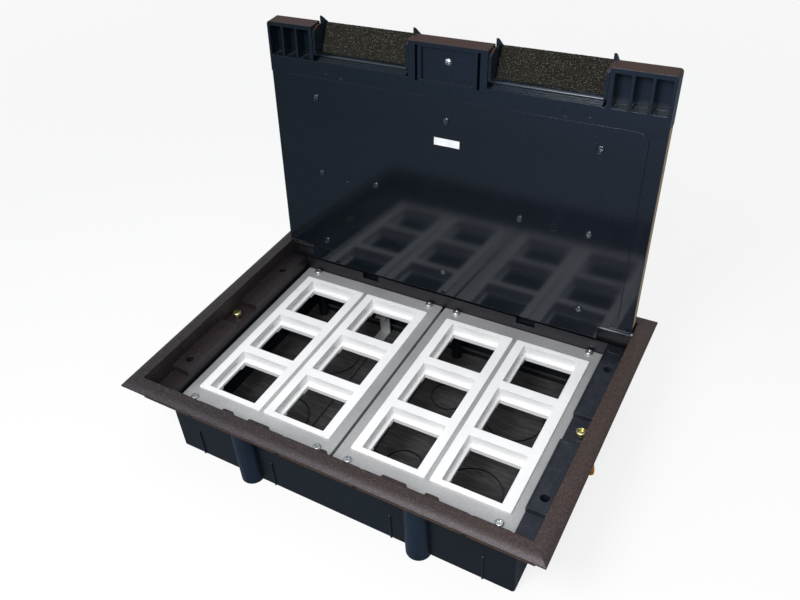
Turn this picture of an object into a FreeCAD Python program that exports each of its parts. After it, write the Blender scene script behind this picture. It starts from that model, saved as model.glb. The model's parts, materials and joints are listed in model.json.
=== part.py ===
import FreeCAD
import Part
import math
import os

V = FreeCAD.Vector
os.makedirs("parts", exist_ok=True)

# ---------------------------------------------------------------------------
# Twelve-way floor socket box with its lid standing open.
# Millimetres. X runs along the hinge, -Y is the front, +Z is up.
# The origin is the middle of the tray's underside.
# ---------------------------------------------------------------------------

# --- module frames ----------------------------------------------------------
MODULE = 45.0            # square window of one wiring module
WINDOW_PITCH = 53.0      # window to window along a frame
RIM_X = 7.7              # rim beside a window
RIM_Y = 4.3              # rim beyond the end windows
PAIR_GAP = 3.5           # between the two frames on one plate
CENTRE_GAP = 18.5        # between the two plates' inner frames
FRAME_W = MODULE + 2 * RIM_X
FRAME_L = 2 * WINDOW_PITCH + MODULE + 2 * RIM_Y
FRAME_PROUD = 1.6        # rim height above the steel plate
WINDOW_STEP = 8.2        # depth of the module seat below the rim
SEAT_X = 2.7             # width of the seat at the window's sides
SEAT_Y = 4.2             # width of the seat at the window's ends
SKIRT_DEEP = 12.0        # underside of the skirt below the rim
SKIRT_WALL = 1.6
LATCH_L = 24.0           # latch slit in a window's side wall

# --- levels -----------------------------------------------------------------
RIM_TOP = 54.0           # top of the module frames
PLATE_TOP = RIM_TOP - FRAME_PROUD
PLATE_T = 1.2
FLANGE_TOP = 78.4
LID_T = 12.5             # lid, outer face to inner face
REST_GAP = 0.2           # closed lid above the ledges
LEDGE_TOP = FLANGE_TOP - LID_T - REST_GAP
STEP_DOWN = 5.0          # corner pockets and screw notches below the ledge
FLOOR_T = 3.0

# --- flange and recess ------------------------------------------------------
FLANGE_X = 171.6
FLANGE_Y = 121.6
FLANGE_H = 3.6           # outer edge, down to the floor it lies on
FLANGE_T = 2.6
EDGE_W = 6.5             # width of the border's domed outer part
EDGE_DROP = 2.5          # and its fall to the outer edge
RECESS_X = 158.9
RECESS_FRONT = 108.9
LID_GAP = 0.85           # beside the lid
FRONT_GAP = 2.7          # before the lid
WALL = 3.0
LEDGE_X = 142.6          # inner edge of the side ledges
LEDGE_FRONT = 100.2      # inner edge of the front ledge
TAB_END = 98.0           # inner end of the tabs on that ledge
LEDGE_T = 3.0
SHELF_Y = 93.9           # face of the hinge shelf
SHELF_T = 6.0
NOTCH_Y0 = -15.3
NOTCH_Y1 = 12.0
POCKET_Y = -79.4
LEDGE_BACK = 89.0

# --- hinge ------------------------------------------------------------------
PIVOT_DROP = 4.0         # hinge axis below the flange's top
PIVOT_Y = 100.4
PIVOT_Z = FLANGE_TOP - PIVOT_DROP
OPEN_ANGLE = 94.3
PIN_R = 2.0
PIN_BORE_R = PIN_R + 0.05
PIN_IN_LID = 46.0        # pin's length inside the lid
PIN_IN_WALL = 5.3        # and in the frame's end wall
HEEL = 6.2               # lid's lower back edge behind the axis
LUG_HEEL = 7.8           # the two lugs reach a little further
SWEEP_GAP = 0.45
LEAN = math.radians(OPEN_ANGLE - 90.0)
STOP_Y = PIVOT_DROP * (1 + math.sin(LEAN)) / math.cos(LEAN) + 0.05
BACK_EDGE = PIVOT_Y + STOP_Y

# --- lid --------------------------------------------------------------------
LID_X = RECESS_X - LID_GAP
LID_FRONT = PIVOT_Y + RECESS_FRONT - FRONT_GAP   # axis to front edge
LID_DRAFT = 1.3          # front face leans out by this at the outer face
SKIN = 2.8
MARGIN = 0.8             # margin set back round the raised panel
BACK_RIM_U = 9.0
OUTLET_IN = 31.3         # outlets, measured from the middle of the lid
OUTLET_OUT = 115.7
OUTLET_U = LID_FRONT - 26.4      # inner end of the outlets
STRIP_U = OUTLET_U - 9.2         # start of the deep front strip
FRONT_WALL = 3.2
POCKET_RIB = 2.0
POCKET_FLOOR = 2.4
BOARD_GAP = 0.3
BOARD_SCREW_X = (-LID_X + 41.7, 0.0, LID_X - 41.7)
BOARD_SCREW_MID_X = 63.0
BOARD_SCREW_U = (BACK_RIM_U + 7.3, STRIP_U - 20.6)
BOARD_SCREW_R = 1.3
BOARD_SCREW_L = 5.0
LABEL_T = 0.15
LABEL_X = 21.2
LABEL_U = STRIP_U - 41.0
LABEL_L = 6.0

CAGE_SCREW_U = LID_FRONT - 12.6
CAGE_SCREW_R = 1.55
PANEL_DEEP = 2.0         # sunk panel of the centre block

# --- lifting handle ---------------------------------------------------------
HANDLE_X = OUTLET_IN - 14.3      # half width
HANDLE_R = 1.4           # half its thickness, and its barrel
HANDLE_T = 2 * HANDLE_R + 0.2    # depth it takes up below the outer face
HANDLE_U = LID_FRONT - 9.2       # its pin from the lid's axis
HANDLE_FREE_U = HANDLE_U - 15.8  # its free edge
HANDLE_GAP = 0.5
HANDLE_PIN_R = 0.9
HANDLE_PIN_IN = 3.3      # pin's hold in the lid at each end

# --- outlet flaps -----------------------------------------------------------
FLAP_REST = 22.0         # flap leans out by this angle at its stop
FLAP_U = OUTLET_U + 1.0          # flap hinge from the lid's axis
FLAP_DROP = 2.4          # flap hinge below the outer face
FLAP_GAP = 0.3
CHEEK = 2.0
FLAP_T = 1.4
FLAP_LONG = 0.7          # flap's front edge beyond the lid's
FOAM_T = 3.0
FOAM_GAP = 0.3           # thin glue film round the foam
FLAP_PIN_R = 1.0
FLAP_PIN_IN = 2.6        # pin's hold in the lid at each end
FLAP_BORE_R = FLAP_PIN_R + 0.06
TIP_REACH = 5.2          # cheek tip beyond the lid's front edge at rest
STEPS = 3                # stairs down the outlet's inner end
STEP_U = 0.9
STEP_V = 2.4

# --- tray -------------------------------------------------------------------
TRAY_X = 146.2
TRAY_Y = 101.0
TRAY_WALL = 2.7
TRAY_R = 2.0             # upright corners, outside
TRAY_R_IN = 1.0          # and inside
COLUMN_X = 74.0
COLUMN_R = 9.5
RIB_X = (51.8, 123.2)    # thin ribs on the front and back walls
RIB_H = 26.0
KNOCK_R = 24.5
KNOCK_X = 88.0
KNOCK_Y = 42.0
PLATE_X = 141.5
PLATE_FRONT = 96.5
PLATE_BACK = 93.4
PLATE_GAP = 1.2          # half the joint between the plates
FOLD_H = 9.0
PLATE_SCREW_X = (13.2, 129.5)
PLATE_SCREW_Y = 90.0
SCREW_R = 1.75
HEAD_R = 3.1
HEAD_H = 2.2
FRAME_SCREW_X = 151.0
FRAME_SCREW_Y = (-67.0, 65.3)
FRAME_HEAD_R = 2.7
FRAME_SINK = 5.8         # seat of these screws below the ledge

# --- floor clamps -----------------------------------------------------------
CLAMP_X = 153.3
CLAMP_Y = -1.6
CLAMP_BOSS = 1.3         # boss under the screw's head
CLAMP_SCREW_R = 2.5
CLAMP_HEAD_R = 4.0
CLAMP_HEAD_H = 3.4
CLAW_BORE_R = CLAMP_SCREW_R + 0.08
CLAW_Z = 26.0
CLAW_H = 8.0
CLAW_REACH = 10.2
TOE_R = 2.5

COLUMNS = (-1.5, -0.5, 0.5, 1.5)
SIDES = (-1, 1)


# --- helpers ----------------------------------------------------------------
def box(x0, x1, y0, y1, z0, z1):
    return Part.makeBox(x1 - x0, y1 - y0, z1 - z0, V(x0, y0, z0))


def prism_z(points, z0, z1):
    """Solid with the outline of (x, y) points, from z0 to z1."""
    ring = [V(x, y, z0) for x, y in points]
    wire = Part.makePolygon(ring + ring[:1])
    return Part.Face(wire).extrude(V(0, 0, z1 - z0))


def rod_x(x0, x1, y, z, r):
    return Part.makeCylinder(r, x1 - x0, V(x0, y, z), V(1, 0, 0))


def rod_z(x, y, z0, z1, r):
    return Part.makeCylinder(r, z1 - z0, V(x, y, z0), V(0, 0, 1))


def cone_z(x, y, z0, z1, r0, r1):
    return Part.makeCone(r0, r1, z1 - z0, V(x, y, z0), V(0, 0, 1))


def block(x, y, z0, z1, w, d, r):
    """Upright block with rounded plan corners, centred on x, y."""
    body = box(x - w / 2, x + w / 2, y - d / 2, y + d / 2, z0, z1)
    upright = [e for e in body.Edges if abs(e.tangentAt(e.FirstParameter).z) > 0.99]
    return body.makeFillet(r, upright)


def prism_x(points, x0, x1):
    """Solid with the outline of (y, z) points, from x0 to x1."""
    ring = [V(x0, y, z) for y, z in points]
    wire = Part.makePolygon(ring + ring[:1])
    return Part.Face(wire).extrude(V(x1 - x0, 0, 0))


def prism_y(points, y0, y1):
    """Solid with the outline of (x, z) points, from y0 to y1."""
    ring = [V(x, y0, z) for x, z in points]
    wire = Part.makePolygon(ring + ring[:1])
    return Part.Face(wire).extrude(V(0, y1 - y0, 0))


def join(shapes):
    out = shapes[0].fuse(shapes[1:])
    return out.removeSplitter()


def cut(body, tools):
    return body.cut(tools) if tools else body


def mirror_x(shape):
    return shape.mirror(V(0, 0, 0), V(1, 0, 0))


def both(shape):
    return [shape, mirror_x(shape)]


def save(name, shapes):
    """One STEP file for one node; several solids share it."""
    if not isinstance(shapes, (list, tuple)):
        shapes = [shapes]
    solids = [s for shape in shapes for s in shape.Solids]
    out = solids[0] if len(solids) == 1 else Part.makeCompound(solids)
    out.exportStep("parts/%s.step" % name)


def pan_head(x, y, z, head_r, head_h, shank_r, shank_l):
    """Pan-head screw standing on z, crossed recess in its head."""
    head = rod_z(x, y, z, z + head_h, head_r)
    rim = [e for e in head.Edges if e.BoundBox.ZMin > z + head_h - 0.01]
    head = head.makeFillet(head_h * 0.45, rim)
    shank = rod_z(x, y, z - shank_l, z, shank_r)
    arm = head_r * 0.55
    slot_w = head_r * 0.16
    top = z + head_h
    slots = [
        box(x - arm, x + arm, y - slot_w, y + slot_w, top - head_h * 0.5, top + 1),
        box(x - slot_w, x + slot_w, y - arm, y + arm, top - head_h * 0.5, top + 1),
    ]
    return cut(head.fuse(shank), slots)


# --- lid coordinates: u from the axis to the front, v down from inner face ---
INNER_Z = FLANGE_TOP - LID_T


def lid_y(u):
    return PIVOT_Y - u


def lid_z(v):
    return INNER_Z - v


def lid_box(x0, x1, u0, u1, v0, v1):
    return box(x0, x1, lid_y(u1), lid_y(u0), lid_z(v1), lid_z(v0))


def lid_disc(x, u, v0, v1, r):
    return rod_z(x, lid_y(u), lid_z(v1), lid_z(v0), r)


def opened(shape):
    """Turn a piece drawn on the closed lid to the open stop."""
    out = shape.copy()
    out.rotate(V(0, PIVOT_Y, PIVOT_Z), V(1, 0, 0), -OPEN_ANGLE)
    return out


HANDLE_Z = lid_z(-LID_T + HANDLE_T / 2 + 0.1)
FLAP_Y = lid_y(FLAP_U)
FLAP_Z = FLANGE_TOP - FLAP_DROP


def hung(shape):
    """Turn a piece drawn on the shut flap to its hanging position."""
    out = shape.copy()
    out.rotate(V(0, FLAP_Y, FLAP_Z), V(1, 0, 0), -FLAP_REST)
    return opened(out)


# ---------------------------------------------------------------------------
# base tray
# ---------------------------------------------------------------------------
def base_tray():
    rim_z = LEDGE_TOP - STEP_DOWN - LEDGE_T
    shell = block(0, 0, 0, rim_z, 2 * TRAY_X, 2 * TRAY_Y, TRAY_R)
    inner = block(0, 0, FLOOR_T, rim_z + 1, 2 * (TRAY_X - TRAY_WALL),
                  2 * (TRAY_Y - TRAY_WALL), TRAY_R_IN)
    adds = []
    for s in SIDES:
        # half-round columns outside the front and back walls
        for y in (-TRAY_Y, TRAY_Y):
            adds.append(rod_z(s * COLUMN_X, y, 0, rim_z, COLUMN_R))
            for x in RIB_X:
                adds.append(box(s * x - 0.6, s * x + 0.6, y - 0.9, y + 0.9, 0, RIB_H))
        # bosses under the screws that hold the flange frame
        for y in FRAME_SCREW_Y:
            ear = block(s * 149.5, y, rim_z - 16, rim_z, 12, 11, 2)
            adds.append(ear)
            toe = prism_y([(s * 145, rim_z - 30), (s * 155.5, rim_z - 16),
                           (s * 145, rim_z - 16)], y - 5.5, y + 5.5)
            adds.append(toe)
        # outer ribs on the end walls
        for y in (-38.0, 38.0):
            adds.append(box(min(s * 145, s * 149), max(s * 145, s * 149),
                            y - 1.5, y + 1.5, 0, rim_z - 10))
    outside = join([shell] + adds)
    hollow = cut(outside, [inner])
    posts = []
    for s in SIDES:
        for x in PLATE_SCREW_X:
            for y in (-PLATE_SCREW_Y, PLATE_SCREW_Y):
                posts.append(cone_z(s * x, y, FLOOR_T - 0.5, PLATE_TOP - PLATE_T, 4.6, 3.8))
                out = 1 if y > 0 else -1
                y0, y1 = sorted((y, out * (TRAY_Y - TRAY_WALL / 2)))
                posts.append(box(s * x - 0.9, s * x + 0.9, y0, y1,
                                 FLOOR_T - 0.5, PLATE_TOP - PLATE_T - 4))
    # low stiffening ribs on the floor
    for x in (-117.0, -58.5, 0.0, 58.5, 117.0):
        posts.append(box(x - 0.8, x + 0.8, -62, 62, FLOOR_T - 0.5, FLOOR_T + 1.6))
    # seating strip along the back wall and the front wall
    for y0, y1 in ((-99.0, -95.8), (95.8, 99.0)):
        posts.append(box(-130, 130, y0, y1, FLOOR_T - 0.5, FLOOR_T + 5))
    body = join([hollow] + posts)
    tools = []
    for s in SIDES:
        for x in PLATE_SCREW_X:
            for y in (-PLATE_SCREW_Y, PLATE_SCREW_Y):
                tools.append(rod_z(s * x, y, PLATE_TOP - 14, PLATE_TOP, SCREW_R))
        for y in FRAME_SCREW_Y:
            tools.append(rod_z(s * FRAME_SCREW_X, y, rim_z - 12, rim_z + 1, SCREW_R))
        # scored knock-outs in the floor and the end walls
        for y in (-KNOCK_Y, KNOCK_Y):
            tools.append(ring_cut(s * KNOCK_X, y, FLOOR_T, KNOCK_R))
            tools.append(ring_cut(s * 29.3, y, FLOOR_T, 16.0))
        for y in (-62.0, 0.0, 62.0):
            tools.append(end_hole(s, y, 26.0, 12.5))
    # conduit holes through the back wall
    for x in (-105.0, -30.0, 30.0, 105.0):
        hole = Part.makeCylinder(12.5, 12, V(x, TRAY_Y - 8, 30), V(0, 1, 0))
        tools.append(hole)
    # four fixing holes in the floor
    for x in (-126.0, 126.0):
        for y in (-76.0, 76.0):
            tools.append(rod_z(x, y, -1, FLOOR_T + 1, 2.6))
    return cut(body, tools)


def ring_cut(x, y, z, r):
    """Score line round a knock-out, cut down from z."""
    outer = rod_z(x, y, z - 1.6, z + 4, r)
    inner = rod_z(x, y, z - 2.0, z + 5, r - 1.3)
    return outer.cut(inner)


def end_hole(s, y, z, r):
    """Score line round a knock-out in an end wall."""
    x = s * TRAY_X
    outer = Part.makeCylinder(r, 1.4, V(x, y, z), V(-s, 0, 0))
    inner = Part.makeCylinder(r - 1.2, 3.0, V(x + s * 0.5, y, z), V(-s, 0, 0))
    return outer.cut(inner)


# ---------------------------------------------------------------------------
# flange frame: border, recess walls, ledges and hinge shelf in one moulding
# ---------------------------------------------------------------------------
def pin_hole(s):
    """Blind hole for one hinge pin in the frame's end wall."""
    x0, x1 = sorted((s * (RECESS_X - 1), s * (RECESS_X + PIN_IN_WALL + 0.3)))
    return rod_x(x0, x1, PIVOT_Y, PIVOT_Z, PIN_R)


def crown(half, place):
    """Face of the border's domed section, half its width either way."""
    r = (EDGE_W ** 2 + EDGE_DROP ** 2) / (2 * EDGE_DROP)
    turn = math.asin(EDGE_W / r) / 2
    low, edge = FLANGE_TOP - FLANGE_H, FLANGE_TOP - EDGE_DROP
    flat = half - EDGE_W
    bow = flat + r * math.sin(turn)
    crest = FLANGE_TOP - r + r * math.cos(turn)
    wire = Part.Wire([
        Part.makeLine(place(-half, low), place(-half, edge)),
        Part.Arc(place(-half, edge), place(-bow, crest), place(-flat, FLANGE_TOP)).toShape(),
        Part.makeLine(place(-flat, FLANGE_TOP), place(flat, FLANGE_TOP)),
        Part.Arc(place(flat, FLANGE_TOP), place(bow, crest), place(half, edge)).toShape(),
        Part.makeLine(place(half, edge), place(half, low)),
        Part.makeLine(place(half, low), place(-half, low)),
    ])
    return Part.Face(wire)


def gusset(wall, way, under):
    """Triangle between the recess wall and the border's underside."""
    return [(wall, under + 0.5), (wall + way * 7.0, under + 0.5), (wall + way * 7.0, under),
            (wall + way * 2.0, under - 5.0), (wall, under - 5.0)]


def flange_frame():
    under = FLANGE_TOP - FLANGE_T
    along_x = crown(FLANGE_Y, lambda a, z: V(-FLANGE_X, a, z)).extrude(V(2 * FLANGE_X, 0, 0))
    along_y = crown(FLANGE_X, lambda a, z: V(a, -FLANGE_Y, z)).extrude(V(0, 2 * FLANGE_Y, 0))
    border = along_x.common(along_y)
    hollow = box(-FLANGE_X + WALL, FLANGE_X - WALL, -FLANGE_Y + WALL,
                 FLANGE_Y - WALL, FLANGE_TOP - FLANGE_H - 1, under)
    border = border.cut(hollow)

    low = LEDGE_TOP - STEP_DOWN - LEDGE_T
    back_wall = PIVOT_Y + LUG_HEEL + 3.4
    well = box(-RECESS_X - WALL, RECESS_X + WALL, -RECESS_FRONT - WALL,
               back_wall + WALL, low, under + 0.5)
    adds = [well]
    # gussets that carry the border
    for y in (-84.0, -42.0, 42.0, 84.0):
        for s in SIDES:
            adds.append(prism_y(gusset(s * (RECESS_X + 1), s, under), y - 1, y + 1))
    for x in (-130.0, -78.0, -26.0, 26.0, 78.0, 130.0):
        adds.append(prism_x(gusset(-RECESS_FRONT - 1, -1, under), x - 1, x + 1))
    body = join([border] + adds)

    tools = []
    # mouth that the lid drops into
    tools.append(box(-RECESS_X, RECESS_X, -RECESS_FRONT, BACK_EDGE,
                     LEDGE_TOP, FLANGE_TOP + 1))
    # hinge space running back under the border
    tools.append(box(-RECESS_X, RECESS_X, SHELF_Y - 6, back_wall,
                     LEDGE_TOP, PIVOT_Z + 0.9))
    # clear well between the ledges, down past the plates
    tools.append(box(-LEDGE_X, LEDGE_X, -LEDGE_FRONT, SHELF_Y,
                     low - 1, LEDGE_TOP + 1))
    reach = math.hypot(LID_T - PIVOT_DROP, LUG_HEEL) + SWEEP_GAP
    tools.append(rod_x(-RECESS_X, RECESS_X, PIVOT_Y, PIVOT_Z, reach))
    step_z = LEDGE_TOP - STEP_DOWN
    for s in SIDES:
        x0, x1 = sorted((s * (LEDGE_X - 1), s * RECESS_X))
        tools.append(box(x0, x1, -RECESS_FRONT, POCKET_Y, step_z, LEDGE_TOP + 1))
        tools.append(box(x0, x1, NOTCH_Y0, NOTCH_Y1, step_z, LEDGE_TOP + 1))
        # long shallow tray sunk in each ledge
        for y0, y1 in ((POCKET_Y + 1.4, NOTCH_Y0 - 1.4), (NOTCH_Y1 + 1.4, LEDGE_BACK - 5)):
            tools.append(block(s * 148.6, (y0 + y1) / 2, LEDGE_TOP - 0.4, LEDGE_TOP + 1,
                               9.4, y1 - y0, 1.0))
        # counterbored holes for the frame screws
        for y in FRAME_SCREW_Y:
            tools.append(rod_z(s * FRAME_SCREW_X, y, low - 1, LEDGE_TOP + 1, SCREW_R + 0.15))
            tools.append(rod_z(s * FRAME_SCREW_X, y, LEDGE_TOP - FRAME_SINK, LEDGE_TOP + 1,
                               FRAME_HEAD_R + 0.4))
        tools.append(rod_z(s * CLAMP_X, CLAMP_Y, low - 1, step_z + 1, CLAMP_SCREW_R + 0.15))
        # hollow underside below the solid part of each ledge
        for y0, y1 in ((POCKET_Y + 3, FRAME_SCREW_Y[0] - 6), (FRAME_SCREW_Y[0] + 6, -18.3),
                       (15.0, FRAME_SCREW_Y[1] - 6), (FRAME_SCREW_Y[1] + 6, LEDGE_BACK)):
            x0, x1 = sorted((s * (LEDGE_X + 2.2), s * (RECESS_X - 1)))
            tools.append(box(x0, x1, y0, y1, low - 1, LEDGE_TOP - LEDGE_T))
        # windows in the face of the hinge shelf
        x0, x1 = sorted((s * 66.0, s * 82.0))
        tools.append(box(x0, x1, SHELF_Y - 2, SHELF_Y + 6, 57.0, LEDGE_TOP + 1))
        # slots that take the cheeks of the outlet flaps
        for x in (OUTLET_IN, OUTLET_OUT - CHEEK - 0.6):
            a0, a1 = sorted((s * (x - 0.4), s * (x + CHEEK + 1.0)))
            tools.append(box(a0, a1, -RECESS_FRONT - WALL - 1, -LEDGE_FRONT + 1,
                             50, under - 0.4))
        tools.append(pin_hole(s))
    # hollow underside of the hinge shelf and of the front ledge
    for x0, x1 in ((-140, -84), (-64, -2), (2, 64), (84, 140)):
        tools.append(box(x0, x1, SHELF_Y + 2.5, back_wall - 1, low - 1,
                         PIVOT_Z - reach - 2.0))
    body = cut(body, tools)

    # small tabs on the front ledge, over the plates
    tabs = []
    z0, z1 = LEDGE_TOP - LEDGE_T, LEDGE_TOP
    for x, w in ((0.0, 6.4), (57.0, 19.6), (-57.0, 19.6), (85.6, 10.4), (-85.6, 10.4)):
        y0, y1 = -LEDGE_FRONT - 0.5, -TAB_END
        tabs.append(prism_z([(x - w / 2, y0), (x + w / 2, y0), (x + w / 2, y1 - 1.0),
                             (x + w / 2 - 1.2, y1), (x - w / 2 + 1.2, y1),
                             (x - w / 2, y1 - 1.0)], z0, z1))
    # apron under the hinge shelf, down to the plates
    tabs.append(box(-LEDGE_X, LEDGE_X, SHELF_Y, SHELF_Y + 1.5, PLATE_TOP + 0.2, low + 0.5))
    # pin bosses outside the end walls
    for s in SIDES:
        x0, x1 = sorted((s * (RECESS_X + 1), s * (RECESS_X + PIN_IN_WALL + 2.0)))
        boss = rod_x(x0, x1, PIVOT_Y, PIVOT_Z, 2 * PIN_R)
        boss = boss.common(box(-FLANGE_X, FLANGE_X, 0, FLANGE_Y, low, under + 0.5))
        tabs.append(boss.cut(pin_hole(s)))
        stand = rod_z(s * CLAMP_X, CLAMP_Y, step_z - 0.5, step_z + CLAMP_BOSS, 3.4)
        tabs.append(stand.cut(rod_z(s * CLAMP_X, CLAMP_Y, step_z - 1, step_z + 3,
                                    CLAMP_SCREW_R + 0.15)))
        # raised rim round the fixing screw and a dot beside it
        ring = rod_z(s * 150.3, -56.5, LEDGE_TOP - 0.5, LEDGE_TOP + 0.1, 3.4)
        tabs.append(ring.cut(rod_z(s * 150.3, -56.5, LEDGE_TOP - 1, LEDGE_TOP + 1, 2.6)))
    return join([body] + tabs)


# ---------------------------------------------------------------------------
# steel carrier plates
# ---------------------------------------------------------------------------
def frame_x(i):
    """Centre of module frame i, counted from the left."""
    inner = CENTRE_GAP / 2 + FRAME_W / 2
    outer = inner + FRAME_W + PAIR_GAP
    return (-outer, -inner, inner, outer)[i]


def carrier_plate(s):
    x0, x1 = sorted((s * PLATE_GAP, s * PLATE_X))
    z0 = PLATE_TOP - PLATE_T
    sheet = box(x0, x1, -PLATE_FRONT, PLATE_BACK, z0, PLATE_TOP)
    upright = [e for e in sheet.Edges if abs(e.tangentAt(e.FirstParameter).z) > 0.99]
    sheet = sheet.makeFillet(1.5, upright)
    # folded edges: down along the joint and down along the outer side
    fx0, fx1 = sorted((s * PLATE_GAP, s * (PLATE_GAP + PLATE_T)))
    fold = box(fx0, fx1, -PLATE_FRONT + 4, PLATE_BACK - 4, PLATE_TOP - FOLD_H, PLATE_TOP)
    body = join([sheet, fold])
    tools = []
    frames = (2, 3) if s > 0 else (0, 1)
    for i in frames:
        w = FRAME_W - 2 * 3.4
        tools.append(block(frame_x(i), 0, z0 - 1, PLATE_TOP + 1, w, FRAME_L - 2 * 2.0, 1.0))
    for x in PLATE_SCREW_X:
        for y in (-PLATE_SCREW_Y, PLATE_SCREW_Y):
            tools.append(rod_z(s * x, y, z0 - 1, PLATE_TOP + 1, SCREW_R + 0.25))
    return cut(body, tools)


# ---------------------------------------------------------------------------
# white module frames
# ---------------------------------------------------------------------------
def module_frame(i):
    x = frame_x(i)
    skirt_w = FRAME_W - 2 * 3.6
    skirt_l = FRAME_L - 2 * 2.2
    rim = block(x, 0, PLATE_TOP, RIM_TOP, FRAME_W, FRAME_L, 1.2)
    top = [e for e in rim.Edges if e.BoundBox.ZMin > RIM_TOP - 0.01]
    rim = rim.makeFillet(0.5, top)
    skirt = block(x, 0, RIM_TOP - SKIRT_DEEP, PLATE_TOP + 0.5, skirt_w, skirt_l, 0.8)
    # snap barbs that grip under the plate
    barbs = []
    for s in SIDES:
        for y in (-WINDOW_PITCH / 2, WINDOW_PITCH / 2):
            z1 = PLATE_TOP - PLATE_T - 0.1
            edge = x + s * skirt_w / 2
            barb = prism_y([(edge - s * 0.6, z1), (edge + s * 1.0, z1),
                            (edge + s * 1.0, z1 - 0.8), (edge - s * 0.6, z1 - 4.2)],
                           y - 5, y + 5)
            barbs.append(barb)
    body = join([rim, skirt] + barbs)
    tools = []
    for k in (-1, 0, 1):
        y = k * WINDOW_PITCH
        mouth = block(x, y, RIM_TOP - WINDOW_STEP, RIM_TOP + 1, MODULE, MODULE, 0.6)
        tools.append(mouth)
        tools.append(box(x - MODULE / 2 + SEAT_X, x + MODULE / 2 - SEAT_X,
                         y - MODULE / 2 + SEAT_Y, y + MODULE / 2 - SEAT_Y,
                         RIM_TOP - SKIRT_DEEP - 1, RIM_TOP))
        for s in SIDES:
            edge = x + s * MODULE / 2
            e0, e1 = sorted((edge - s * 0.5, edge + s * (RIM_X - 3.0)))
            tools.append(box(e0, e1, y - LATCH_L / 2, y + LATCH_L / 2,
                             RIM_TOP - 6.4, RIM_TOP - 4.6))
            # finger relief under the seat at each latch
            e0, e1 = sorted((edge - s * (SEAT_X + 0.5), edge - s * 1.1))
            tools.append(box(e0, e1, y - LATCH_L / 2, y + LATCH_L / 2,
                             RIM_TOP - SKIRT_DEEP - 1, RIM_TOP - SKIRT_DEEP + 1.6))
    # core out the underside of each cross bar
    for k in (-0.5, 0.5):
        y = k * WINDOW_PITCH
        tools.append(box(x - 18, x + 18, y - 1.9, y + 1.9,
                         RIM_TOP - SKIRT_DEEP - 1, RIM_TOP - 2.4))
    return cut(body, tools)


# ---------------------------------------------------------------------------
# lid shell
# ---------------------------------------------------------------------------
def lid_shell():
    top = -LID_T
    w = LID_X
    # skin over the whole inner face, set back outside the raised panel
    skin = lid_box(-w, w, -HEEL, LID_FRONT, -SKIN, 0)
    # deep strip along the front, and the rim along the hinge
    strip = prism_x([(lid_y(STRIP_U), lid_z(0)), (lid_y(LID_FRONT), lid_z(0)),
                     (lid_y(LID_FRONT + LID_DRAFT), lid_z(top)),
                     (lid_y(STRIP_U), lid_z(top))], -w, w)
    z_in = lid_z(0)
    heel = [
        (lid_y(BACK_RIM_U), FLANGE_TOP),
        (PIVOT_Y, FLANGE_TOP),
    ]
    steps = 12
    for k in range(1, steps + 1):
        a = math.radians(90.0 * k / steps)
        heel.append((PIVOT_Y + PIVOT_DROP * math.sin(a), PIVOT_Z + PIVOT_DROP * math.cos(a)))
    heel += [
        (PIVOT_Y + HEEL - 0.6, PIVOT_Z - 0.4),
        (PIVOT_Y + HEEL, PIVOT_Z - 1.2),
        (PIVOT_Y + HEEL, z_in + 1.0),
        (PIVOT_Y + HEEL - 1.0, z_in),
        (lid_y(BACK_RIM_U), z_in),
    ]
    rim = prism_x(heel, -w, w)
    adds = [strip, rim]
    # lugs that reach down behind the hinge shelf's face
    for s in SIDES:
        x0, x1 = sorted((s * 46.0, s * 92.0))
        lug = [
            (PIVOT_Y, PIVOT_Z - 2.0),
            (PIVOT_Y + LUG_HEEL - 1.2, PIVOT_Z - 2.0),
            (PIVOT_Y + LUG_HEEL, PIVOT_Z - 3.2),
            (PIVOT_Y + LUG_HEEL, z_in + 1.4),
            (PIVOT_Y + LUG_HEEL - 1.4, z_in),
            (PIVOT_Y, z_in),
        ]
        adds.append(prism_x(lug, x0, x1))
    body = join([skin] + adds)

    tools = []
    # margin set back round the raised panel
    margin = lid_box(-w - 1, w + 1, 7.0, 167.0, -MARGIN, 1)
    panel = block(0, lid_y(87.0), lid_z(2), lid_z(-MARGIN - 1), 2 * 147.0, 160.0 - 0.2, 9.0)
    tools.append(margin.cut(panel))
    for s in SIDES:
        tools += front_pockets(s)
        tools += outlet_cut(s)
        # notch that bares the hinge pin
        x0, x1 = sorted((s * 133.0, s * (w + 1)))
        tools.append(lid_box(x0, x1, -HEEL - 2, 5.6, -LID_T + PIVOT_DROP + PIN_R + 0.3 - 4.3, 1))
        x0, x1 = sorted((s * (w - PIN_IN_LID - 1.5), s * (w + 1)))
        tools.append(rod_x(x0, x1, PIVOT_Y, PIVOT_Z, PIN_BORE_R))
    tools += centre_pockets()
    for x, u in BOARD_SCREWS:
        tools.append(lid_disc(x, u, -0.5, 1, BOARD_SCREW_R + 2.0))
        tools.append(lid_disc(x, u, -SKIN - 1, 1, BOARD_SCREW_R + 0.2))
    for s in SIDES:
        for u in (82.7, 172.0):
            tools.append(lid_disc(s * 90.0, u, -0.35, 1, 3.0))
        tools.append(lid_box(s * 105.3 - 1.6, s * 105.3 + 1.6, 171.2, 172.2, -0.4, 1))
        tools.append(lid_box(s * 105.8 - 2.4, s * 105.8 + 2.4, -5.3, -3.5, -3.0, 1))
    tools.append(lid_box(-2.2, 2.2, -5.3, -3.5, -3.0, 1))
    body = cut(body, tools)
    # round the two front corners of the lid
    edges = [e for e in body.Edges
             if abs(e.tangentAt(e.FirstParameter).z) > 0.99
             and e.BoundBox.YMax < lid_y(LID_FRONT) + 0.1
             and abs(abs(e.BoundBox.XMin) - w) < 0.1]
    body = body.makeFillet(2.4, edges)
    return body


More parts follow.
